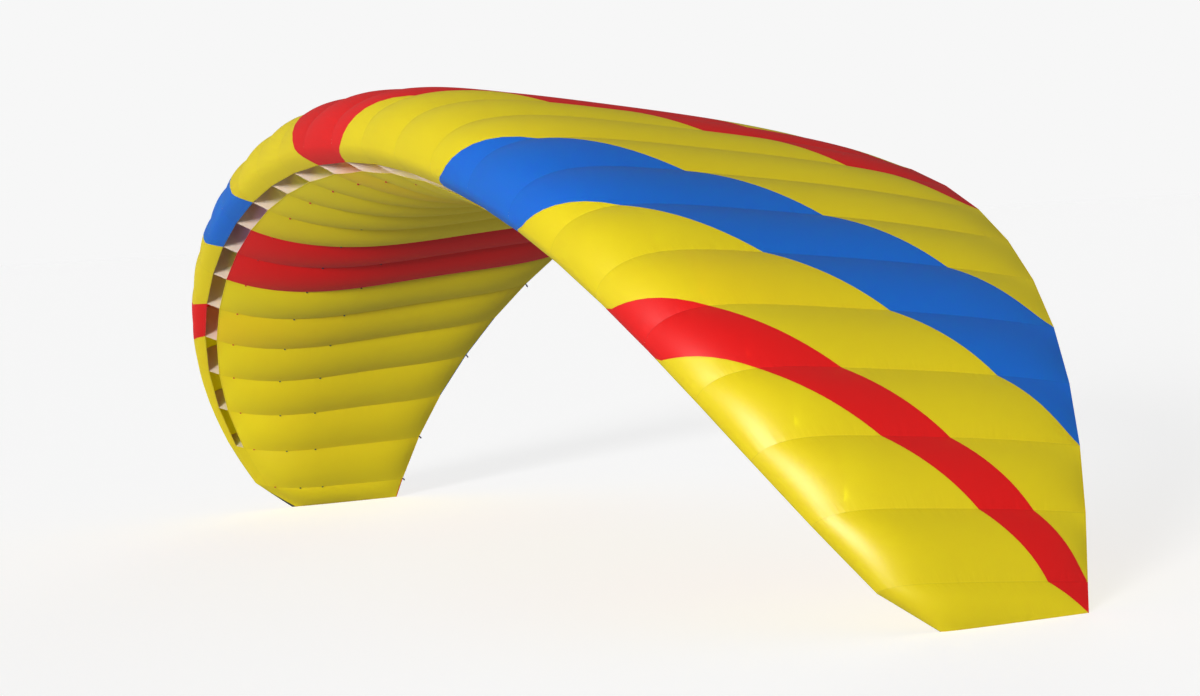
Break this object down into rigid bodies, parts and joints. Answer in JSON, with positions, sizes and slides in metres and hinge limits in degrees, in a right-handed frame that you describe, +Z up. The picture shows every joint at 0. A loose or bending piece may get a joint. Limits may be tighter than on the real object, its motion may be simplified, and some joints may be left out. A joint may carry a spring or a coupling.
{
  "type": "paraglider wing",
  "caption": "Inflated ram-air paraglider wing of ripstop cloth, cells between sewn ribs, air intakes under the nose, arched, standing on its flat tips.",
  "frame": {"origin": "on the floor under the middle of the wing's plan, halfway from nose to trailing edge", "axes": "+X to the port tip, -Y forward to the nose, +Z up from the floor on which the two tips stand"},
  "size_m": [9.1588, 3.0162, 2.7687],
  "materials": {
    "sail_yellow": "coated ripstop nylon, satin sheen",
    "sail_blue": "coated ripstop nylon, satin sheen",
    "sail_red": "coated ripstop nylon, satin sheen",
    "rib_white": "hard-finish ripstop nylon, matt",
    "line_tape": "woven polyester tape of the loops that the lines tie to, dark"
  },
  "bodies": {
    "root": {"upper_panel_01": "sail_yellow", "upper_panel_02": "sail_yellow", "upper_panel_03": "sail_yellow", "upper_panel_04": "sail_yellow", "upper_panel_05": "sail_yellow", "upper_panel_06": "sail_yellow", "upper_panel_07": "sail_blue", "upper_panel_08": "sail_yellow", "upper_panel_09": "sail_yellow", "upper_panel_10": "sail_yellow", "upper_panel_11": "sail_yellow", "upper_panel_12": "sail_yellow", "upper_panel_13": "sail_yellow", "upper_panel_14": "sail_yellow", "upper_panel_15": "sail_yellow", "upper_panel_16": "sail_yellow", "upper_panel_17": "sail_yellow", "upper_panel_18": "sail_yellow", "upper_panel_19": "sail_yellow", "upper_panel_20": "sail_yellow", "upper_panel_21": "sail_blue", "upper_panel_22": "sail_yellow", "upper_panel_23": "sail_yellow", "upper_panel_24": "sail_yellow", "upper_panel_25": "sail_yellow", "upper_panel_26": "sail_yellow", "upper_panel_27": "sail_yellow", "rib_01": "rib_white", "rib_02": "rib_white", "rib_03": "rib_white", "rib_04": "rib_white", "rib_05": "rib_white", "rib_06": "rib_white", "rib_07": "rib_white", "rib_08": "rib_white", "rib_09": "rib_white", "rib_10": "rib_white", "rib_11": "rib_white", "rib_12": "rib_white", "rib_13": "rib_white", "rib_14": "rib_white", "rib_15": "rib_white", "rib_16": "rib_white", "rib_17": "rib_white", "rib_18": "rib_white", "rib_19": "rib_white", "rib_20": "rib_white", "rib_21": "rib_white", "rib_22": "rib_white", "rib_23": "rib_white", "rib_24": "rib_white", "rib_25": "rib_white", "rib_26": "rib_white", "rib_27": "rib_white", "rib_28": "rib_white", "lower_sail_port_outer": "sail_yellow", "lower_sail_port_stripe": "sail_red", "lower_sail_middle": "sail_yellow", "lower_sail_starboard_stripe": "sail_red", "lower_sail_starboard_outer": "sail_yellow"}
  },
  "joints": []
}
